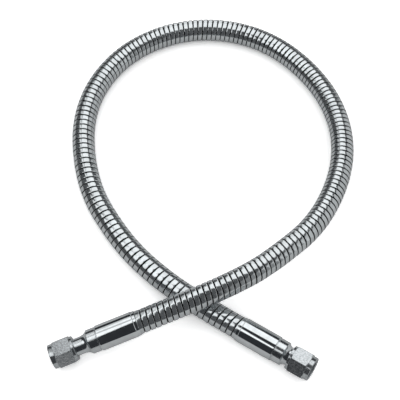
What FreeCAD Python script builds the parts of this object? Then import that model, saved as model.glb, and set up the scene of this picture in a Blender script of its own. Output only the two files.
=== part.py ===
import FreeCAD, Part
import math
import os

os.makedirs("parts", exist_ok=True)

# A metal-armoured transfer hose for very cold liquid, lying in one loose loop that passes over
# itself. From the inside out the hose is a corrugated inner hose, a wire braid that takes its
# pull and a strip-wound armour casing. Both ends carry the same fitting: a tube stub with a
# flared end, a flare ring behind the flare, a loose hexagonal swivel nut, a turned collar and a
# thin polished sleeve over the end of the armour. Inside the sleeve a cuff, a braid ring and a
# stop hold the hose, its braid and the armour.
# Millimetres, +Z up. The origin is on the floor, midway between the two end fittings.
# In a fitting, "along" is the distance from the sleeve's mouth towards the nut.

# Hose section, from the bore outwards
bore = 12.7
corrugation_depth = 1.9
braid_gap = 0.1
braid_wall = 0.9
casing_gap = 0.75
casing_wall = 1.7

# Sleeve over the end of the armour, and what sits inside it
sleeve_gap = 0.35
sleeve_wall = 0.65
sleeve_length = 40.0
lip_length = 3.0
lip_gap = 0.15
lip_wall = 0.4
stop_length = 4.5
stop_gap = 1.5
stop_wall = 2.4
cuff_length = 3.5
braid_ring_length = 11.5
braid_ring_wall = 1.1

# Collar that closes the sleeve on to the stub
collar_length = 10.0
collar_spigot = 8.0
collar_edge = 0.4
collar_flank = 5.3
collar_lip = 0.3

# Stub with its flared end, and the flare ring
stub_wall = 2.15
flare_angle = 37.0
flare_height = 1.4
flare_lip = 1.1
lip_round = 0.5
seat_wall = 0.6
ring_wall = 1.4
ring_length = 4.7
ring_seat_gap = 0.4
ring_edge = 0.4
ring_float = 0.1

# Swivel nut, and how far it slides on the neck
nut_across_flats = 25.4
nut_length = 24.5
boss_od = 24.2
boss_front = 4.6
boss_back = 2.6
boss_edge = 0.5
nut_back_wall = 4.5
hexagon_chamfer = 0.2
hexagon_chamfer_angle = 30.0
back_bore_gap = 0.25
back_bore_chamfer = 0.5
chamber_gap = 0.2
thread_gap = 0.25
thread_length = 11.0
thread_lead = 0.9
thread_relief_depth = 1.05
thread_relief_width = 2.2
neck_free = 14.3
nut_stop_gap = 0.5

# Fits
press_gap = 0.05
running_gap = 0.05

# Where the two ends lie: the sleeve's mouth in plan, the way the fitting points, its fall, and
# how far its nut is turned on the neck
mouth_a = (-42.8, 20.3)
heading_a = 199.2
fall_a = 10.5
nut_turn_a = 5.0
mouth_b = (55.3, 20.6)
heading_b = -31.9
fall_b = -1.0
nut_turn_b = -8.5
lead_a = 56.0
lead_b = 55.9

# The hose's route between the two leads: across, away and rise above its place on the floor.
# It passes over its own other end just before the first point, then comes down to the floor.
loop_points = [
    (48.2, 56.6, 27.3),
    (84.8, 80.7, 22.3),
    (140.4, 133.5, 12.3),
    (170.2, 218.0, 3.3),
    (152.0, 297.9, 0.0),
    (91.4, 362.1, 0.0),
    (9.6, 378.9, 0.0),
    (-66.7, 345.1, 0.0),
    (-108.8, 273.0, 0.0),
    (-101.0, 180.8, 0.0),
    (-63.8, 116.3, 0.0),
    (-27.1, 77.5, 0.0),
]
arc_share = 0.45

# Sizes that follow
hose_od = bore + 2 * corrugation_depth
braid_id = hose_od + 2 * braid_gap
braid_od = braid_id + 2 * braid_wall
casing_id = braid_od + 2 * casing_gap
casing_od = casing_id + 2 * casing_wall
sleeve_id = casing_od + 2 * sleeve_gap
sleeve_od = sleeve_id + 2 * sleeve_wall
collar_od = sleeve_id - 2 * press_gap
neck_od = bore + 2 * stub_wall
flare_od = neck_od + 2 * flare_height
ring_id = neck_od + 2 * running_gap
ring_od = ring_id + 2 * ring_wall
thread_minor = ring_od + 2 * thread_gap
lip_od = casing_od + 2 * lip_gap + 2 * lip_wall
lip_rise = (sleeve_od - lip_od) / 2
across_corners = nut_across_flats / math.cos(math.radians(30))
chamfer_circle = nut_across_flats - 2 * hexagon_chamfer
chamfer_run = (across_corners - chamfer_circle) / 2 * math.tan(math.radians(hexagon_chamfer_angle))
collar_face = sleeve_length + collar_length
nut_back = collar_face + neck_free
shoulder = nut_back + nut_back_wall
ring_back = shoulder + ring_float
ring_front = ring_back + ring_length
flare_back = ring_front + ring_seat_gap
nose = flare_back + flare_lip
nut_front = nut_back + nut_length
hexagon_back = nut_back + boss_back
hexagon_front = nut_front - boss_front
nut_travel = neck_free - collar_flank - nut_stop_gap
collar_back = sleeve_length - collar_spigot
cuff_back = collar_back - cuff_length
braid_ring_back = collar_back - braid_ring_length
stop_back = braid_ring_back - stop_gap - stop_length
hose_low = casing_od / 2
flare_slope = math.tan(math.radians(flare_angle))


def turned(profile):
    """Solid of revolution about X. A point is (along, radius), and a third value marks the
    middle of an arc between its two neighbours."""
    points = [FreeCAD.Vector(p[0], 0, p[1]) for p in profile]
    corners = [i for i, p in enumerate(profile) if len(p) == 2]
    edges = []
    for here, following in zip(corners, corners[1:] + corners[:1]):
        if (following - here) % len(profile) == 2:
            middle = points[(here + 1) % len(profile)]
            edges.append(Part.Arc(points[here], middle, points[following]).toShape())
        else:
            edges.append(Part.LineSegment(points[here], points[following]).toShape())
    face = Part.Face(Part.Wire(edges))
    return face.revolve(FreeCAD.Vector(), FreeCAD.Vector(1, 0, 0), 360)


def arc_mark(centre, radius, degrees):
    """Middle point of a round or a fillet, seen from its centre at this angle."""
    angle = math.radians(degrees)
    return (centre[0] + radius * math.cos(angle), centre[1] + radius * math.sin(angle), "arc")


def plain_ring(start, end, inner, outer):
    """Square-edged ring between two places along the fitting, from its two diameters."""
    return turned([(start, inner / 2), (end, inner / 2), (end, outer / 2), (start, outer / 2)])


def armour_sleeve():
    """Thin polished sleeve with a narrower lip at its mouth and a rounded front edge."""
    lip_in = casing_od / 2 + lip_gap
    lip_out = lip_od / 2
    inner = sleeve_id / 2
    outer = sleeve_od / 2
    edge = 0.9 * sleeve_wall
    return turned([
        (0, lip_in),
        (lip_length, lip_in),
        (lip_length, inner),
        (sleeve_length, inner),
        (sleeve_length, outer - edge),
        arc_mark((sleeve_length - edge, outer - edge), edge, 45),
        (sleeve_length - edge, outer),
        (lip_length + lip_rise, outer),
        arc_mark((lip_length + lip_rise, lip_out), lip_rise, 135),
        (lip_length, lip_out),
        (0.5 * lip_wall, lip_out),
        (0, lip_out - 0.5 * lip_wall),
    ])


def armour_stop():
    """Ring inside the sleeve that the end of the armour butts against."""
    outer = sleeve_id - 2 * press_gap
    return plain_ring(stop_back, stop_back + stop_length, outer - 2 * stop_wall, outer)


def braid_ring():
    """Ring that clamps the end of the braid on the cuff."""
    inner = braid_od + 2 * press_gap
    outer = inner + 2 * braid_ring_wall
    return plain_ring(braid_ring_back, collar_back, inner, outer)


def end_collar():
    """Turned collar: a spigot in the sleeve, and a hollow flank that runs out along the neck."""
    inner = neck_od / 2 + press_gap
    lip = inner + collar_lip
    outer = collar_od / 2
    flank_end = collar_face + collar_flank
    fall = outer - collar_edge - lip
    hollow = (collar_flank ** 2 + fall ** 2) / (2 * fall)
    first_angle = 270 - math.degrees(math.atan2(collar_flank, hollow - fall))
    return turned([
        (collar_back, inner),
        (flank_end, inner),
        (flank_end, lip),
        arc_mark((flank_end, lip + hollow), hollow, (first_angle + 270) / 2),
        (collar_face, lip + fall),
        (collar_face - collar_edge, outer),
        (collar_back, outer),
    ])


def hose_cuff():
    """Cuff on the back of the stub, which the inner hose and its braid are welded to."""
    return plain_ring(cuff_back, collar_back, neck_od + 2 * press_gap, braid_od)


def tube_stub():
    """Stub tube: the bare neck and the flared end with its seat."""
    neck = neck_od / 2
    flare = flare_od / 2
    seat_mouth = flare - seat_wall
    seat_depth = (seat_mouth - bore / 2) / flare_slope
    return turned([
        (cuff_back, bore / 2),
        (nose - seat_depth, bore / 2),
        (nose, seat_mouth),
        (nose, flare - lip_round),
        arc_mark((nose - lip_round, flare - lip_round), lip_round, 45),
        (nose - lip_round, flare),
        (flare_back, flare),
        (flare_back - flare_height / flare_slope, neck),
        (cuff_back, neck),
    ])


def flare_ring():
    """Ring that carries the nut's pull to the back of the flare."""
    inner = ring_id / 2
    outer = ring_od / 2
    return turned([
        (ring_back, inner),
        (ring_front - ring_wall / flare_slope, inner),
        (ring_front, outer),
        (ring_back + ring_edge, outer),
        (ring_back, outer - ring_edge),
    ])


def swivel_nut(nut_turn):
    """Swivel nut: a hexagon between two round bosses, with its back bore, ring chamber, thread
    relief, thread and lead-in."""
    corner = across_corners / 2
    circle = chamfer_circle / 2
    boss = boss_od / 2
    back_bore = neck_od / 2 + back_bore_gap
    chamber = ring_od / 2 + chamber_gap
    thread = thread_minor / 2
    thread_front = nut_front - thread_lead
    thread_back = thread_front - thread_length
    barrel = turned([
        (nut_back, back_bore + back_bore_chamfer),
        (nut_back + back_bore_chamfer, back_bore),
        (shoulder, back_bore),
        (shoulder, chamber),
        (thread_back - thread_relief_width, chamber),
        (thread_back - thread_relief_width, thread + thread_relief_depth),
        (thread_back, thread + thread_relief_depth),
        (thread_back, thread),
        (thread_front, thread),
        (nut_front, thread + thread_lead),
        (nut_front, boss - boss_edge),
        (nut_front - boss_edge, boss),
        (hexagon_front, boss),
        (hexagon_front, circle),
        (hexagon_front - chamfer_run, corner),
        (hexagon_back + chamfer_run, corner),
        (hexagon_back, circle),
        (hexagon_back, boss),
        (nut_back + boss_edge, boss),
        (nut_back, boss - boss_edge),
    ])
    corners = []
    for i in range(7):
        turn = math.radians(60 * i + nut_turn)
        corners.append(FreeCAD.Vector(nut_back, corner * math.cos(turn), corner * math.sin(turn)))
    hexagon = Part.Face(Part.makePolygon(corners))
    return barrel.common(hexagon.extrude(FreeCAD.Vector(nut_length, 0, 0)))


def place_of(mouth, heading, fall, axis_at_mouth):
    """Placement that sets a fitting's sleeve mouth at this height, pointing along its heading."""
    turn = FreeCAD.Rotation(heading, fall, 0)
    return FreeCAD.Placement(FreeCAD.Vector(mouth[0], mouth[1], axis_at_mouth), turn)


def nut_low(nut_turn):
    """Depth of the hexagon's lowest edge below the nut's axis, for a turn of 30 degrees or less."""
    return across_corners / 2 * math.cos(math.radians(30 - abs(nut_turn)))


def end_places():
    """Both fittings lie on the floor: end a on the front of its nut, and end b on the back of its
    sleeve, or on its nut where that is lower."""
    fall = math.radians(fall_a)
    rim = boss_od / 2 * math.cos(fall) + (nut_front - boss_edge) * math.sin(fall)
    edge = nut_low(nut_turn_a) * math.cos(fall) + (hexagon_front - chamfer_run) * math.sin(fall)
    rise = math.radians(-fall_b)
    sleeve = sleeve_od / 2 * math.cos(rise) - (lip_length + lip_rise) * math.sin(rise)
    nut_start = hexagon_back + chamfer_run - nut_travel
    nut = nut_low(nut_turn_b) * math.cos(rise) - nut_start * math.sin(rise)
    return {
        "a": place_of(mouth_a, heading_a, fall_a, max(rim, edge)),
        "b": place_of(mouth_b, heading_b, fall_b, max(sleeve, nut)),
    }


def route():
    """Corner points of the hose's centreline, from inside sleeve a to inside sleeve b."""
    places = end_places()
    points = [places["a"].multVec(FreeCAD.Vector(stop_back, 0, 0))]
    points.append(places["a"].multVec(FreeCAD.Vector(stop_back - lead_a, 0, 0)))
    points += [FreeCAD.Vector(x, y, hose_low + rise) for x, y, rise in loop_points]
    points.append(places["b"].multVec(FreeCAD.Vector(stop_back - lead_b, 0, 0)))
    points.append(places["b"].multVec(FreeCAD.Vector(stop_back, 0, 0)))
    return points


def towards(start, end, distance):
    return start + (end - start).normalize() * distance


def centreline(extra):
    """Straight runs joined by tangent arcs, with both ends made longer by extra."""
    points = route()
    last = towards(points[0], points[1], -extra)
    edges = []
    radii = []
    for before, corner, after in zip(points, points[1:], points[2:]):
        back = (before - corner).normalize()
        ahead = (after - corner).normalize()
        half_turn = (math.pi - back.getAngle(ahead)) / 2
        tangent = arc_share * min(before.distanceToPoint(corner), after.distanceToPoint(corner))
        radius = tangent / math.tan(half_turn)
        inward = (back + ahead).normalize()
        middle = corner + inward * (radius / math.cos(half_turn) - radius)
        start = corner + back * tangent
        end = corner + ahead * tangent
        edges.append(Part.LineSegment(last, start).toShape())
        edges.append(Part.Arc(start, middle, end).toShape())
        radii.append(radius)
        last = end
    finish = towards(points[-1], points[-2], -extra)
    edges.append(Part.LineSegment(last, finish).toShape())
    return Part.Wire(edges), radii


def tube(inner, outer, extra):
    """Plain tube along the centreline."""
    path, radii = centreline(extra)
    start = path.OrderedVertexes[0].Point
    direction = path.OrderedEdges[0].tangentAt(path.OrderedEdges[0].FirstParameter)
    rims = [Part.Wire(Part.makeCircle(d / 2, start, direction)) for d in (outer, inner)]
    skins = [path.makePipe(Part.Face(rim)) for rim in rims]
    return skins[0].cut(skins[1])


def hose():
    inside = cuff_back - stop_back
    return {
        "armour_casing": tube(casing_id, casing_od, 0),
        "wire_braid": tube(braid_id, braid_od, inside),
        "inner_hose": tube(bore, hose_od, inside),
    }


def end_fitting(end, place):
    """One end's pieces. End b has its nut and flare ring pushed back along the neck."""
    nut_turn = {"a": nut_turn_a, "b": nut_turn_b}[end]
    pushed_back = FreeCAD.Vector(0 if end == "a" else -nut_travel, 0, 0)
    fixed = {
        "armour_sleeve": armour_sleeve(),
        "armour_stop": armour_stop(),
        "braid_ring": braid_ring(),
        "hose_cuff": hose_cuff(),
        "end_collar": end_collar(),
        "tube_stub": tube_stub(),
    }
    loose = {"flare_ring": flare_ring(), "swivel_nut": swivel_nut(nut_turn)}
    for piece in loose.values():
        piece.translate(pushed_back)
    pieces = {}
    for name, piece in {**fixed, **loose}.items():
        piece.Placement = place.multiply(piece.Placement)
        pieces[name + "_" + end] = piece
    return pieces


parts = hose()
for end, place in end_places().items():
    parts.update(end_fitting(end, place))

for name, solid in parts.items():
    solid.exportStep("parts/" + name + ".step")

path, radii = centreline(0)
end_to_end = path.Length + 2 * (nut_front - stop_back) - nut_travel
print("pieces", len(parts))
print("armour", round(path.Length, 1), "mm long, hose", round(end_to_end, 1), "mm from nut to nut")
print("radii of the route", [round(radius) for radius in radii])
casing_section = math.pi / 4 * (casing_od ** 2 - casing_id ** 2)
print("casing volume", round(parts["armour_casing"].Volume), "of", round(casing_section * path.Length))
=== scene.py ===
"""Looks of the armoured transfer hose: a strip-wound armour lying in one loose loop, and on each
end a polished sleeve, a turned collar, a bare stub with a flared end and a hexagonal swivel nut.

The new pieces are surfaces worked out with numpy. Lengths are in millimetres in the functions
that draw a section, and each piece is put in its place in metres.
"""

import math

import bpy
import numpy as np
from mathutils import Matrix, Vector


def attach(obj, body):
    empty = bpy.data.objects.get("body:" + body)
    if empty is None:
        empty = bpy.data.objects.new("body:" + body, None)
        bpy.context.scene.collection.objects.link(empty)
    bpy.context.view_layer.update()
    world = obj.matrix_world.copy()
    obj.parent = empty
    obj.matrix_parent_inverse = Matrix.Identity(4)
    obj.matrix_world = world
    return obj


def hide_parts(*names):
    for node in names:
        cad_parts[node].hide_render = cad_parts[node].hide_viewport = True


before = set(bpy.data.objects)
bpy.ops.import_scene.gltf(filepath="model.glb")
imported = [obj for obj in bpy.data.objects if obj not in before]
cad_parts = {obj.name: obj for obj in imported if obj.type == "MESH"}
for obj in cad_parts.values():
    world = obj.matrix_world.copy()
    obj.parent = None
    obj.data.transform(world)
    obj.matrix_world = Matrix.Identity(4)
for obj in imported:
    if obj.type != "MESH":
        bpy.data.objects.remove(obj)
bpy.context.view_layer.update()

MM = 0.001

# The hose's route, as in the part's source: from inside one sleeve to inside the other
ROUTE = [
    (-0.056264, 0.015611, 0.025542),
    (-0.004265, 0.033719, 0.035747),
    (0.0482, 0.0566, 0.0390),
    (0.0848, 0.0807, 0.0340),
    (0.1404, 0.1335, 0.0240),
    (0.1702, 0.2180, 0.0150),
    (0.1520, 0.2979, 0.0117),
    (0.0914, 0.3621, 0.0117),
    (0.0096, 0.3789, 0.0117),
    (-0.0667, 0.3451, 0.0117),
    (-0.1088, 0.2730, 0.0117),
    (-0.1010, 0.1808, 0.0117),
    (-0.0638, 0.1163, 0.0117),
    (-0.0271, 0.0775, 0.0117),
    (0.020158, 0.042474, 0.011915),
    (0.067608, 0.012939, 0.012891),
]

# Section of the hose in millimetres, from the bore outwards
BORE_R = 6.35
CORE_R = 8.25
BRAID_R = 9.25
ARMOUR_R = 11.7

# The neck's outside, and the bore of the pieces that sit on it
NECK_R = 8.5
ON_NECK_R = 8.55

# How far the strip's flange lies below its land, the gap between two turns, and how far the braid
# and the inner hose run on past the armour
FLANGE_STEP = 1.0
GAP = 0.92
CORE_RUN_ON = 14.0

# The floor's grey and the dark room as the steel reflects them, and how much lighter the camera
# sees the floor
FLOOR_IN_STEEL = 0.5
ROOM_IN_STEEL = (0.033, 0.035, 0.039, 1)
FLOOR_LIFT = 0.75

# Pitch of the armour's turns in millimetres, at shares of the way along the hose
PITCH = [(0.0, 5.9), (0.10, 5.6), (0.17, 5.8), (0.26, 5.4), (0.38, 5.05), (0.50, 5.35),
         (0.62, 5.4), (0.72, 5.7), (0.80, 6.1), (0.88, 6.6), (0.94, 6.6), (1.0, 6.2)]

# Each end fitting: the middle of the sleeve's mouth in metres, the way it points and its fall in
# degrees, how far its nut is moved along the neck in millimetres and turned on it in degrees
ENDS = {
    "a": ((-0.0428, 0.0203, 0.028185), 199.2, 10.5, 0.0, 5.0),
    "b": ((0.0553, 0.0206, 0.012638), -31.9, -1.0, -8.5, -8.5),
}


def steel(name, colour, roughness, spread, grain, bump, painted_shade_grey=0.0, haze=0.0, mottle=0.0):
    """Bright stainless steel. Fine grain follows the attribute "local", the piece's own
    coordinates in metres with x along it: grain is the noise's scale along x, y and z, spread is
    how far the roughness wanders, and bump how strongly the grain turns the light. Next comes the
    grey towards which the hollows that the attribute "shade" marks are darkened as painted shade,
    then haze, the share of the light that fine scratches scatter, and mottle, how much more the
    colour changes, then with the grain."""
    mat = bpy.data.materials.new(name)
    mat.use_nodes = True
    nodes = mat.node_tree.nodes
    links = mat.node_tree.links
    shader = nodes["Principled BSDF"]
    shader.inputs["Metallic"].default_value = 1.0 - haze
    place = nodes.new("ShaderNodeAttribute")
    place.attribute_name = "local"

    def noise(scale, detail, rough=0.55):
        """Noise of the piece's own coordinates times scale."""
        stretch = nodes.new("ShaderNodeMapping")
        stretch.inputs["Scale"].default_value = scale
        links.new(place.outputs["Vector"], stretch.inputs["Vector"])
        made = nodes.new("ShaderNodeTexNoise")
        made.inputs["Scale"].default_value = 1.0
        made.inputs["Detail"].default_value = detail
        made.inputs["Roughness"].default_value = rough
        links.new(stretch.outputs["Vector"], made.inputs["Vector"])
        return made.outputs["Fac"]

    def ranged(value, low, high):
        """Noise, nearly all of which lies between 0.3 and 0.7, brought between low and high."""
        made = nodes.new("ShaderNodeMapRange")
        made.inputs["From Min"].default_value = 0.3
        made.inputs["From Max"].default_value = 0.7
        made.inputs["To Min"].default_value = low
        made.inputs["To Max"].default_value = high
        links.new(value, made.inputs["Value"])
        return made.outputs["Result"]

    lines = noise(grain, 4.0)
    clouds = noise((90.0, 90.0, 90.0), 3.0)
    mixed = nodes.new("ShaderNodeMath")
    mixed.operation = "ADD"
    links.new(ranged(lines, roughness - spread, roughness + spread), mixed.inputs[0])
    links.new(ranged(clouds, -0.5 * spread, 0.5 * spread), mixed.inputs[1])
    links.new(mixed.outputs["Value"], shader.inputs["Roughness"])

    tone = nodes.new("ShaderNodeMix")
    tone.data_type = "RGBA"
    darkest = 0.90 - mottle
    lightest = 1.08 + mottle
    tone.inputs["A"].default_value = (*[c * darkest for c in colour], 1)
    tone.inputs["B"].default_value = (*[min(c * lightest, 1) for c in colour], 1)
    links.new(ranged(lines if mottle else clouds, 0.0, 1.0), tone.inputs["Factor"])
    finish = tone.outputs["Result"]
    # Painted shade: the hollows that the attribute "shade" marks are darkened towards a grey that
    # stands in for the shade falling in them
    if painted_shade_grey:
        depth = nodes.new("ShaderNodeAttribute")
        depth.attribute_name = "shade"
        dark = nodes.new("ShaderNodeMix")
        dark.data_type = "RGBA"
        dark.inputs["B"].default_value = (painted_shade_grey, painted_shade_grey, painted_shade_grey * 1.04, 1)
        links.new(depth.outputs["Fac"], dark.inputs["Factor"])
        links.new(finish, dark.inputs["A"])
        finish = dark.outputs["Result"]
    links.new(finish, shader.inputs["Base Color"])

    relief = nodes.new("ShaderNodeBump")
    relief.inputs["Strength"].default_value = bump
    relief.inputs["Distance"].default_value = 0.05 * MM
    links.new(lines, relief.inputs["Height"])
    links.new(relief.outputs["Normal"], shader.inputs["Normal"])
    return mat


def surface(name, points, uv, local, shade=None, sharp=30, wrap=False, flip=False, caps=False):
    """Mesh from a grid of points in metres, rows by columns. The last row joins the first where
    wrap is true. flip turns the faces over, and caps closes the first and the last row, whose
    last column is their first again. local is stored per point for the materials, and shade
    is painted shade that darkens a hollow."""
    rows, columns = points.shape[:2]
    index = np.arange(rows * columns).reshape(rows, columns)
    ahead = np.roll(index, -1, axis=0) if wrap else index[1:]
    here = index if wrap else index[:-1]
    faces = np.stack([here[:, :-1], ahead[:, :-1], ahead[:, 1:], here[:, 1:]], -1)
    faces = faces.reshape(-1, 4).tolist()
    if caps:
        faces += [index[0, :-1].tolist(), index[-1, -2::-1].tolist()]
    if flip:
        faces = [face[::-1] for face in faces]
    mesh = bpy.data.meshes.new(name)
    mesh.from_pydata(points.reshape(-1, 3).tolist(), [], faces)
    corners = np.zeros(len(mesh.loops), np.int32)
    mesh.loops.foreach_get("vertex_index", corners)
    flat = uv.reshape(-1, 2)[corners]
    mesh.uv_layers.new(name="UVMap").data.foreach_set("uv", flat.astype(np.float32).ravel())
    own = mesh.attributes.new("local", "FLOAT_VECTOR", "POINT")
    own.data.foreach_set("vector", local.reshape(-1, 3).astype(np.float32).ravel())
    if shade is not None:
        dark = mesh.attributes.new("shade", "FLOAT", "POINT")
        dark.data.foreach_set("value", shade.astype(np.float32).ravel())
    mesh.shade_smooth()
    mesh.set_sharp_from_angle(angle=math.radians(sharp))
    piece = bpy.data.objects.new(name, mesh)
    bpy.context.scene.collection.objects.link(piece)
    return piece


def dressed(piece, body, node, material):
    """The piece in its material, riding its body, in place of its CAD node."""
    piece.data.materials.append(material)
    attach(piece, body)
    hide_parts(node)
    return piece


def rounded(corners, steps=4):
    """Section with its corners rounded. A corner is (along, radius, rounding), and the arc
    touches both sides at rounding * tan(turn / 2) from the corner."""
    points = []
    for i, (x, r, rounding) in enumerate(corners):
        corner = np.array([x, r], float)
        if not rounding or i in (0, len(corners) - 1):
            points.append(corner)
            continue
        back = np.array(corners[i - 1][:2], float) - corner
        ahead = np.array(corners[i + 1][:2], float) - corner
        back_length = np.linalg.norm(back)
        ahead_length = np.linalg.norm(ahead)
        back /= back_length
        ahead /= ahead_length
        half_turn = (math.pi - math.acos(np.clip(back @ ahead, -1, 1))) / 2
        reach = min(rounding * math.tan(half_turn), 0.48 * back_length, 0.48 * ahead_length)
        radius = reach / math.tan(half_turn)
        inward = (back + ahead) / np.linalg.norm(back + ahead)
        centre = corner + inward * radius / math.cos(half_turn)
        first = corner + back * reach - centre
        last = corner + ahead * reach - centre
        for share in np.linspace(0, 1, steps + 1):
            ray = first * (1 - share) + last * share
            points.append(centre + radius * ray / np.linalg.norm(ray))
    return np.array(points)


def held(section, reach=0.2):
    """The section with two more points on each long straight side, close to its ends, so that
    the rounded corners don't bend the light on the side."""
    start = section[:-1]
    side = np.diff(section, axis=0)
    length = np.linalg.norm(side, axis=1)
    points = []
    for at, step, span in zip(start, side, length):
        points.append(at)
        if span > 4 * reach:
            points += [at + step * reach / span, at + step * (1 - reach / span)]
    return np.array([*points, section[-1]])


def place(end, along, across, up):
    """Points in the part's frame, in metres, from millimetres in an end fitting's own axes:
    mouth + along * axis + across * side + up * top."""
    mouth, heading, fall = ENDS[end][:3]
    h = math.radians(heading)
    f = math.radians(fall)
    axis = np.array([math.cos(h) * math.cos(f), math.sin(h) * math.cos(f), -math.sin(f)])
    side = np.array([-math.sin(h), math.cos(h), 0.0])
    top = np.cross(axis, side)
    grid = along[..., None] * axis + across[..., None] * side + up[..., None] * top
    return np.array(mouth) + grid * MM


def lathe(name, end, corners, around=96, shift=0.0):
    """Surface of revolution about a fitting's axis: (x, r cos t, r sin t) for each point (x, r)
    of the rounded section."""
    section = held(rounded(corners))
    t = np.linspace(0, 2 * math.pi, around, endpoint=False)[:, None]
    x = section[:, 0][None, :] + 0 * t
    y = section[:, 1][None, :] * np.cos(t)
    z = section[:, 1][None, :] * np.sin(t)
    run = np.r_[0, np.cumsum(np.linalg.norm(np.diff(section, axis=0), axis=1))]
    uv = np.stack([t / (2 * math.pi) + 0 * x, run[None, :] / 100 + 0 * x], -1)
    local = np.stack([x, y, z], -1) * MM
    return surface(name, place(end, x + shift, y, z), uv, local, wrap=True)


def centreline(step=0.0004):
    """Points along the hose: a quadratic NURBS with the route as its control points, read
    back at even steps."""
    curve = bpy.data.curves.new("hose_line", "CURVE")
    curve.dimensions = "3D"
    spline = curve.splines.new("NURBS")
    spline.points.add(len(ROUTE) - 1)
    for point, at in zip(spline.points, ROUTE):
        point.co = (*at, 1)
    spline.order_u = 3
    spline.use_endpoint_u = True
    spline.resolution_u = 40
    holder = bpy.data.objects.new("hose_line", curve)
    bpy.context.scene.collection.objects.link(holder)
    depsgraph = bpy.context.evaluated_depsgraph_get()
    line = bpy.data.meshes.new_from_object(holder.evaluated_get(depsgraph))
    read = np.array([v.co for v in line.vertices])
    bpy.data.meshes.remove(line)
    bpy.data.objects.remove(holder)
    bpy.data.curves.remove(curve)
    apart = np.linalg.norm(np.diff(read, axis=0), axis=1)
    run = np.r_[0, np.cumsum(apart)]
    even = np.linspace(0, run[-1], int(run[-1] / step) + 1)
    return np.stack([np.interp(even, run, read[:, k]) for k in range(3)], 1), even


class Line:
    """The hose's centreline with a frame at every point: the direction ahead, evened out over a
    few points, and a level direction to its side. extra carries the line straight on past both
    ends, in metres."""

    def __init__(self, extra=0.0):
        points, run = centreline()
        if extra:
            first = points[0] - points[1]
            last = points[-1] - points[-2]
            reach = np.linspace(extra, 0, 41)[:-1, None]
            before = points[0] + first / np.linalg.norm(first) * reach
            after = points[-1] + last / np.linalg.norm(last) * reach[::-1]
            points = np.vstack([before, points, after])
            run = np.r_[0, np.cumsum(np.linalg.norm(np.diff(points, axis=0), axis=1))]
        ahead = np.gradient(points, run, axis=0)
        width = 15
        kernel = np.hanning(width + 2)[1:-1]
        padded = np.pad(ahead, ((width // 2, width // 2), (0, 0)), mode="edge")
        ahead = np.stack([np.convolve(padded[:, k], kernel, "valid") for k in range(3)], 1)
        ahead /= np.linalg.norm(ahead, axis=1)[:, None]
        sides = np.cross(ahead, (0.0, 0.0, 1.0))
        sides /= np.linalg.norm(sides, axis=1)[:, None]
        self.points = points
        self.run = run
        self.length = run[-1]
        self.ahead = ahead
        self.sides = sides
        self.bend = np.gradient(ahead, run, axis=0)

    def at(self, values, s):
        """The line's points, directions, sides or bends, read at distance s along it."""
        return np.stack([np.interp(s, self.run, values[:, k]) for k in range(3)], -1)

    def around(self, s, t, r):
        """Points at distance r from the centreline, at angle t, s along it."""
        return self.at(self.points, s) + self.outward(s, t) * r[..., None]

    def outward(self, s, t):
        """Direction away from the centreline: side cos t + top sin t."""
        side = self.at(self.sides, s)
        top = np.cross(side, self.at(self.ahead, s))
        return side * np.cos(t)[..., None] + top * np.sin(t)[..., None]

    def stretch(self, s, t, r):
        """How much longer the surface is than the centreline there: 1 - r n.k, where n points
        outwards and k is the centreline's curvature."""
        return 1 - r * np.sum(self.outward(s, t) * self.at(self.bend, s), -1)


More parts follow.
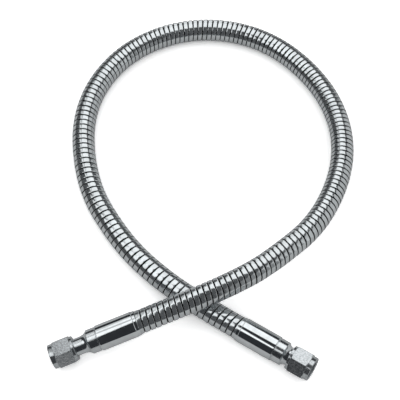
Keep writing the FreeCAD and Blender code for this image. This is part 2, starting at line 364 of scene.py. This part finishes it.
def armour(line):
    """The wound strip. Turn n covers the centreline from S(n) to S(n + 1), where S is the
    inverse of n(s), the integral of ds / pitch(s). Each turn rises from a low flange over a
    round shoulder to a slightly crowned land, and ends in a lip over the next turn's flange. The
    gap between two turns opens on the outside of a bend and closes on the inside, and each turn
    is a little loose, sunk or tilted. The section is closed by two side walls and an inner wall."""
    turn_points = 34
    opening = 3
    least_gap = 0.3
    share = line.run / line.length
    pitch = np.interp(share, *zip(*PITCH)) * MM
    turns = np.r_[0, np.cumsum(np.diff(line.run) * 0.5 * (1 / pitch[1:] + 1 / pitch[:-1]))]
    count = int(turns[-1])
    turns *= count / turns[-1]
    tau = np.arange(0, (count - 1) * turn_points + 1) / turn_points
    angle = 2 * math.pi * tau
    start = np.interp(tau, turns, line.run)
    end = np.interp(tau + 1, turns, line.run)
    middle = (start + end) / 2
    wide = line.stretch(middle, angle, np.full_like(tau, ARMOUR_R * MM))
    local_pitch = (end - start) * wide

    def varied(values):
        """One value for each turn, run evenly from turn to turn."""
        return np.interp(tau, np.arange(count + 1), values) * MM

    rng = np.random.default_rng(7)
    loose = varied(rng.normal(0, 0.08, count + 1))
    sunk = varied(rng.uniform(0, 0.04, count + 1))
    tilt = varied(rng.normal(0, 0.05, count + 1))
    gap = np.maximum(GAP * MM * (1 + opening * (wide - 1)) + loose, least_gap * MM)

    # Radius of the flange, of its foot, of the inner wall, and above which a column is on the land
    low = ARMOUR_R - FLANGE_STEP
    foot = low - 0.25
    inner = BRAID_R + 0.25
    land = low + 0.5
    # How far a turn's first side wall stands clear of the turn before
    clear = 0.03
    # Each column: what it is measured from and how far past it, radius and the darkness of its
    # painted shade
    columns = [
        ("start", clear, foot, 1.0),
        ("gap", -0.25, low, 1.0),
        ("gap", 0.0, low + 0.2, 1.0),
        ("gap", 0.05, ARMOUR_R - 0.25, 0.9),
        ("gap", 0.18, ARMOUR_R - 0.10, 0.3),
        ("gap", 0.5, ARMOUR_R - 0.025, 0.0),
        ("gap", 1.3, ARMOUR_R, 0.0),
        ("end", -1.3, ARMOUR_R, 0.0),
        ("end", -0.5, ARMOUR_R - 0.025, 0.0),
        ("end", -0.18, ARMOUR_R - 0.10, 0.1),
        ("end", -0.03, ARMOUR_R - 0.25, 0.6),
        ("end", 0.0, ARMOUR_R - 0.45, 1.0),
        ("end", 0.0, foot, 1.0),
        ("end", 0.0, inner, 1.0),
        ("start", clear, inner, 1.0),
        ("start", clear, foot, 1.0),
    ]
    marks = {"start": np.zeros_like(gap), "gap": gap, "end": local_pitch}
    s = np.empty((len(tau), len(columns)))
    r = np.empty_like(s)
    shade = np.empty_like(s)
    for k, (mark, past, radius, dark) in enumerate(columns):
        s[:, k] = start + np.clip(marks[mark] + past * MM, 0, local_pitch) / wide
        r[:, k] = radius * MM
        if radius > land:
            r[:, k] += (tilt if mark == "gap" else -tilt) - np.abs(tilt) - sunk
        shade[:, k] = dark
    t = angle[:, None] + 0 * s
    points = line.around(s, t, r)
    arc = 2 * math.pi * ARMOUR_R / turn_points
    unrolled = np.cumsum(np.r_[0, np.full(len(tau) - 1, arc)]) / 100
    uv = np.stack([unrolled[:, None] + 0 * s, (s - start[:, None]) * 10], -1)
    local = np.stack([s, r * np.cos(t), r * np.sin(t)], -1)
    return surface("hose_armour", points, uv, local, shade=shade, sharp=50, flip=True, caps=True)


def walled(s, r, inner, step):
    """Distance along and radius of a tube's outside, then of a plain inside wall that goes back
    to the start in steps of that many columns, and the first column again."""
    bore = np.full_like(r[:, ::-step], inner * MM)
    return (np.concatenate([s, s[:, ::-step], s[:, :1]], 1),
            np.concatenate([r, bore, r[:, :1]], 1))


def tube(name, line, s, t, r):
    """Closed piece along the hose, from the distance along it and the radius of its section's
    points at each angle t."""
    t = t + 0 * s
    uv = np.stack([t / (2 * math.pi), s * 10], -1)
    local = np.stack([s, r * np.cos(t), r * np.sin(t)], -1)
    points = line.around(s, t, r)
    return surface(name, points, uv, local, wrap=True, sharp=180, flip=True)


def braid(line):
    """Two families of n wire bundles crossing over and under: the surface rises where
    sin((n t + k s) / 2) and sin((n t - k s) / 2) are both far from nought, and k gives a bundle
    one turn round the hose in each lay."""
    bundles = 12
    lay = 0.045
    depth = 0.8
    t = np.linspace(0, 2 * math.pi, 60, endpoint=False)[:, None]
    s = np.linspace(0, line.length, 421)[None, :]
    k = 2 * math.pi * bundles / lay
    weave = np.abs(np.sin(bundles / 2 * t + k * s / 2) * np.sin(bundles / 2 * t - k * s / 2))
    r = (BRAID_R - depth + depth * np.sqrt(weave)) * MM
    s, r = walled(s + 0 * t, r, CORE_R + 0.05, 2)
    return tube("hose_braid", line, s, t, r)


def core(line):
    """Corrugated inner hose: r = middle + half the depth times w, round a plain bore. w is
    -cos(2 pi s / pitch) to the power of 0.6 with its sign kept, which flattens the crests."""
    pitch = 4.2
    wave_columns = 8
    trough = BORE_R + 0.4
    waves = int(line.length / (pitch * MM))
    t = np.linspace(0, 2 * math.pi, 28, endpoint=False)[:, None]
    s = np.linspace(0, line.length, waves * wave_columns + 1)[None, :]
    wave = -np.cos(2 * math.pi * waves * s / line.length)
    wave = np.sign(wave) * np.abs(wave) ** 0.6
    r = (0.5 * (trough + CORE_R) + 0.5 * wave * (CORE_R - trough)) * MM + 0 * t
    s, r = walled(s + 0 * t, r, BORE_R, wave_columns)
    return tube("hose_core", line, s, t, r)


def sleeve(end):
    """Thin polished sleeve with its lip at the mouth and a round front shoulder."""
    return lathe("sleeve_" + end, end, [
        (40.0, 12.05, 0),
        (3.0, 12.05, 0.1),
        (3.0, 11.85, 0.1),
        (0.0, 11.85, 0.12),
        (0.0, 12.25, 0.2),
        (2.9, 12.25, 0.35),
        (3.4, 12.7, 0.45),
        (40.0, 12.7, 0.58),
        (40.0, 12.05, 0),
    ], around=128)


def collar(end):
    """Turned collar, with a narrow groove at the sleeve's edge. Its hollow flank is an arc that
    runs out along the neck, about a centre in front of the collar and outside it."""
    centre_x = 55.3
    centre_r = 15.33
    arc = 6.48
    t = np.radians(np.linspace(215.1, 270, 10))
    flank = [(centre_x + arc * math.cos(a), centre_r + arc * math.sin(a), 0) for a in t]
    return lathe("collar_" + end, end, [
        (32.0, ON_NECK_R, 0),
        (32.0, 12.0, 0.2),
        (40.05, 12.0, 0),
        (40.2, 11.35, 0.1),
        (40.85, 11.35, 0.1),
        (41.1, 12.0, 0.15),
        (49.8, 12.0, 0.3),
        *flank,
        (centre_x, ON_NECK_R, 0),
        (32.0, ON_NECK_R, 0),
    ], around=128)


def stub(end):
    """Bare neck with the flared end and its seat."""
    return lathe("stub_" + end, end, [
        (28.5, BORE_R, 0),
        (28.5, NECK_R, 0.2),
        (72.142, NECK_R, 1.2),
        (74.0, 9.9, 0.15),
        (75.1, 9.9, 0.45),
        (75.1, 9.3, 0.1),
        (71.185, BORE_R, 0.4),
        (28.5, BORE_R, 0),
    ])


def flare_ring(end):
    """Ring behind the flare, with the flare's slope in its front."""
    return lathe("ring_" + end, end, [
        (68.9, ON_NECK_R, 0),
        (68.9, 9.95, 0.4),
        (73.6, 9.95, 0.1),
        (71.742, ON_NECK_R, 0.1),
        (68.9, ON_NECK_R, 0),
    ], shift=ENDS[end][3])


def nut_outside():
    """The hexagon between its two round bosses, from the back to the front. At angle t from a
    flat's middle the hexagon's radius is apothem / cos t, rounded at the corners, and a 30 degree
    chamfer meets it where x = end - (radius - circle) tan 30."""
    apothem = 12.7
    circle = 12.5
    soft = 0.35
    flat_points = 11
    half = math.pi / 6
    reach = (apothem - soft) * math.tan(half)
    centre = (apothem - soft) / math.cos(half)
    bend = half + np.radians([-15, 0, 15])
    flat = np.linspace(-reach, reach, flat_points)
    across = np.r_[flat, centre * math.sin(half) + soft * np.sin(bend)]
    out = np.r_[np.full(flat_points, apothem), centre * math.cos(half) + soft * np.cos(bend)]
    angle = np.arctan2(across, out)
    turns = half + np.arange(6)[:, None] * 2 * half
    angle = (angle + turns).reshape(-1, 1)
    radius = np.tile(np.hypot(across, out), 6)[:, None]
    slope = (radius - circle) * math.tan(half)
    rings = [
        (64.3, 11.6), (64.36, 11.76), (64.62, 12.04), (64.85, 12.1), (66.86, 12.1), (66.9, 12.14),
        (66.9, 12.46), (66.94, circle), (66.87 + slope, radius - 0.06), (67.0 + slope, radius),
        (84.1 - slope, radius), (84.23 - slope, radius - 0.06), (84.16, circle), (84.2, 12.46),
        (84.2, 12.14), (84.24, 12.1), (88.25, 12.1), (88.48, 12.04), (88.74, 11.76), (88.8, 11.6),
    ]
    none = 0 * radius
    return np.stack([np.concatenate([x + none, r + none], 1) for x, r in rings], 1), angle


def nut_inside(angle):
    """The nut's inner wall from front to back: lead-in, thread, relief, ring chamber and back
    bore. The thread's radius is minor + depth g, where g is a trapezoid wave of the phase
    x / pitch - t / 2 pi."""
    pitch = 25.4 / 14
    depth = 0.86
    minor = 10.2
    mouth = 87.9
    root = 76.9
    x = np.linspace(mouth, root, 62)[None, :]
    phase = (x / pitch - angle / (2 * math.pi)) % 1
    wave = np.clip((0.5 - np.abs(phase - 0.5)) * 2.9 - 0.35, 0, 1)
    fade = np.clip((mouth - x) / 0.6, 0, 1) * np.clip((x - root) / 0.3, 0, 1)
    thread = np.stack([x + 0 * angle, minor + depth * wave * fade], -1)
    front = rounded([(88.8, 11.5, 0), (88.8, 11.12, 0.12), (mouth, minor, 0)])[:-1]
    back = rounded([(root, minor, 0), (root, 11.25, 0.1), (74.7, 11.25, 0.15), (74.7, 10.15, 0.1),
                    (68.8, 10.15, 0.15), (68.8, 8.75, 0.1), (64.8, 8.75, 0.1), (64.3, 9.25, 0)])[1:]
    front, back = [np.broadcast_to(part, (len(angle), *part.shape)) for part in (front, back)]
    return np.concatenate([front, thread, back], 1)


def nut(end):
    """Hexagonal swivel nut: its outside and its threaded inside, closed by the two end faces."""
    shift, turn = ENDS[end][3:]
    outer, angle = nut_outside()
    whole = np.concatenate([outer, nut_inside(angle), outer[:, :1]], 1)
    x = whole[..., 0]
    r = whole[..., 1]
    t = angle + math.radians(turn)
    run = np.cumsum(np.linalg.norm(np.diff(whole, axis=1, prepend=whole[:, :1]), axis=-1), axis=1)
    uv = np.stack([angle / (2 * math.pi) + 0 * x, run / 100], -1)
    local = np.stack([x, r * np.cos(angle), r * np.sin(angle)], -1) * MM
    points = place(end, x + shift, r * np.cos(t), r * np.sin(t))
    return surface("nut_" + end, points, uv, local, wrap=True, sharp=7)


def area_light(name, at, aim, size, radiance):
    """Rectangular soft light. A light of radiance L and area A has power pi A L."""
    light = bpy.data.lights.new(name, "AREA")
    light.shape = "RECTANGLE"
    light.size, light.size_y = size
    light.energy = math.pi * size[0] * size[1] * radiance
    lamp = bpy.data.objects.new(name, light)
    lamp.location = at
    lamp.rotation_euler = (Vector(aim) - Vector(at)).to_track_quat("-Z", "Y").to_euler()
    lamp.visible_camera = False
    lamp.visible_diffuse = False
    bpy.context.scene.collection.objects.link(lamp)


def make_camera():
    """The photograph's view: 62 degrees above the floor, upright, a little right of middle."""
    camera = bpy.data.cameras.new("camera")
    camera.lens = 112.5
    camera.sensor_width = 36
    holder = bpy.data.objects.new("camera", camera)
    holder.location = (0.0165, -0.4364, 1.1368)
    aim = Vector((0.0165, 0.1680, 0.0)) - holder.location
    holder.rotation_euler = aim.to_track_quat("-Z", "Y").to_euler()
    bpy.context.scene.collection.objects.link(holder)
    bpy.context.scene.camera = holder


def seen_by_ray(tree, shown, choices):
    """The shader shown, with another in its place for each kind of ray that choices names."""
    path = tree.nodes.new("ShaderNodeLightPath")
    for ray, seen in choices:
        choose = tree.nodes.new("ShaderNodeMixShader")
        tree.links.new(path.outputs[ray], choose.inputs["Fac"])
        tree.links.new(shown, choose.inputs[1])
        tree.links.new(seen, choose.inputs[2])
        shown = choose.outputs["Shader"]
    return shown


def make_studio():
    """White floor, a large soft light above and behind with a hot middle, one low behind and one
    to the left with a strip beside it, and weaker ones at the side, on the right and in front."""
    mesh = bpy.data.meshes.new("floor")
    mesh.from_pydata([(-6, -6, 0), (6, -6, 0), (6, 6, 0), (-6, 6, 0)], [], [(0, 1, 2, 3)])
    floor = bpy.data.objects.new("floor", mesh)
    paper = bpy.data.materials.new("floor_paper")
    paper.use_nodes = True
    nodes = paper.node_tree.nodes
    links = paper.node_tree.links
    white = nodes["Principled BSDF"]
    white.inputs["Base Color"].default_value = (0.9, 0.9, 0.9, 1)
    white.inputs["Roughness"].default_value = 0.9
    white.inputs["Specular IOR Level"].default_value = 0.0
    grey = nodes.new("ShaderNodeBsdfDiffuse")
    grey.inputs["Color"].default_value = (FLOOR_IN_STEEL, FLOOR_IN_STEEL, FLOOR_IN_STEEL, 1)
    more = nodes.new("ShaderNodeBsdfDiffuse")
    more.inputs["Color"].default_value = (FLOOR_LIFT, FLOOR_LIFT, FLOOR_LIFT, 1)
    lit = nodes.new("ShaderNodeAddShader")
    links.new(white.outputs["BSDF"], lit.inputs[0])
    links.new(more.outputs["BSDF"], lit.inputs[1])
    shown = seen_by_ray(paper.node_tree, white.outputs["BSDF"], (
        ("Is Glossy Ray", grey.outputs["BSDF"]),
        ("Is Camera Ray", lit.outputs["Shader"]),
    ))
    links.new(shown, nodes["Material Output"].inputs["Surface"])
    mesh.materials.append(paper)
    bpy.context.scene.collection.objects.link(floor)

    area_light("light_back", (0.2, 1.3, 1.4), (0.2, 1.3, 0.0), (1.5, 1.96), 1.25)
    area_light("light_side", (-0.8, 1.5, 1.4), (-0.8, 1.5, 0.0), (0.5, 1.56), 0.48)
    area_light("light_hot", (-0.08, 1.4, 1.40), (-0.08, 1.4, 0.0), (0.75, 1.0), 0.3)
    area_light("light_low", (-0.02, 2.3, 0.7), (-0.02, 0.0, 0.7), (0.8, 1.4), 1.1)
    area_light("light_left", (-0.95, -0.10, 1.45), (0.0, -0.15, 0.0), (1.1, 1.1), 1.3)
    area_light("light_strip", (-0.80, 0.90, 1.15), (-0.63, -0.12, 0.0), (0.3, 1.1), 0.75)
    area_light("light_right", (1.7, 0.75, 0.8), (0.0, 0.75, 0.8), (2.4, 1.6), 0.55)
    area_light("light_front", (1.35, -0.75, 0.8), (0.0, 0.17, 0.8), (1.2, 1.6), 0.2)

    world = bpy.data.worlds.new("studio")
    bpy.context.scene.world = world
    world.use_nodes = True
    nodes = world.node_tree.nodes
    sky = nodes["Background"]
    sky.inputs["Color"].default_value = (1, 1, 1, 1)
    choices = []
    for ray, colour in (("Is Glossy Ray", ROOM_IN_STEEL), ("Is Camera Ray", (1, 1, 1, 1))):
        seen = nodes.new("ShaderNodeBackground")
        seen.inputs["Color"].default_value = colour
        choices.append((ray, seen.outputs["Background"]))
    shown = seen_by_ray(world.node_tree, sky.outputs["Background"], choices)
    world.node_tree.links.new(shown, nodes["World Output"].inputs["Surface"])
    bpy.context.scene.view_settings.view_transform = "Standard"


make_camera()

outer_line = Line()
inner_line = Line(CORE_RUN_ON * MM)

# The strip's grooves and shoulders are painted a dark grey of 0.02 as painted shade between its
# turns
strip = steel("armour_strip", (0.64, 0.675, 0.69), 0.14, 0.05, (2600, 40, 40), 0.3, painted_shade_grey=0.02,
              haze=0.08)
wire = steel("braid_wire", (0.59, 0.61, 0.62), 0.3, 0.08, (900, 900, 900), 0.4)
bright = steel("hose_steel", (0.58, 0.59, 0.60), 0.2, 0.05, (900, 60, 60), 0.2)
polish = steel("polished_sleeve", (0.70, 0.735, 0.75), 0.07, 0.03, (1500, 30, 30), 0.06)
turned = steel("polished_collar", (0.68, 0.715, 0.73), 0.17, 0.05, (3200, 25, 25), 0.3)
plain = steel("turned_steel", (0.60, 0.61, 0.62), 0.25, 0.06, (2400, 40, 40), 0.3)
neck = steel("stub_steel", (0.68, 0.715, 0.73), 0.2, 0.05, (1800, 30, 30), 0.25)
hexagon = steel("nut_steel", (0.535, 0.565, 0.58), 0.17, 0.05, (450, 700, 700), 0.9, haze=0.05,
                mottle=0.14)

jacket = dressed(armour(outer_line), "hose", "armour_casing", strip)
weave = dressed(braid(inner_line), "hose", "wire_braid", wire)
inside = dressed(core(inner_line), "hose", "inner_hose", bright)

for end in ENDS:
    dressed(sleeve(end), "hose", "armour_sleeve_" + end, polish)
    dressed(collar(end), "hose", "end_collar_" + end, turned)
    dressed(stub(end), "hose", "tube_stub_" + end, neck)
    dressed(flare_ring(end), "ring_" + end, "flare_ring_" + end, plain)
    dressed(nut(end), "nut_" + end, "swivel_nut_" + end, hexagon)
    for kind in ("armour_stop_", "braid_ring_", "hose_cuff_"):
        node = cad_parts[kind + end]
        node.data.materials.clear()
        node.data.materials.append(plain)

make_studio()
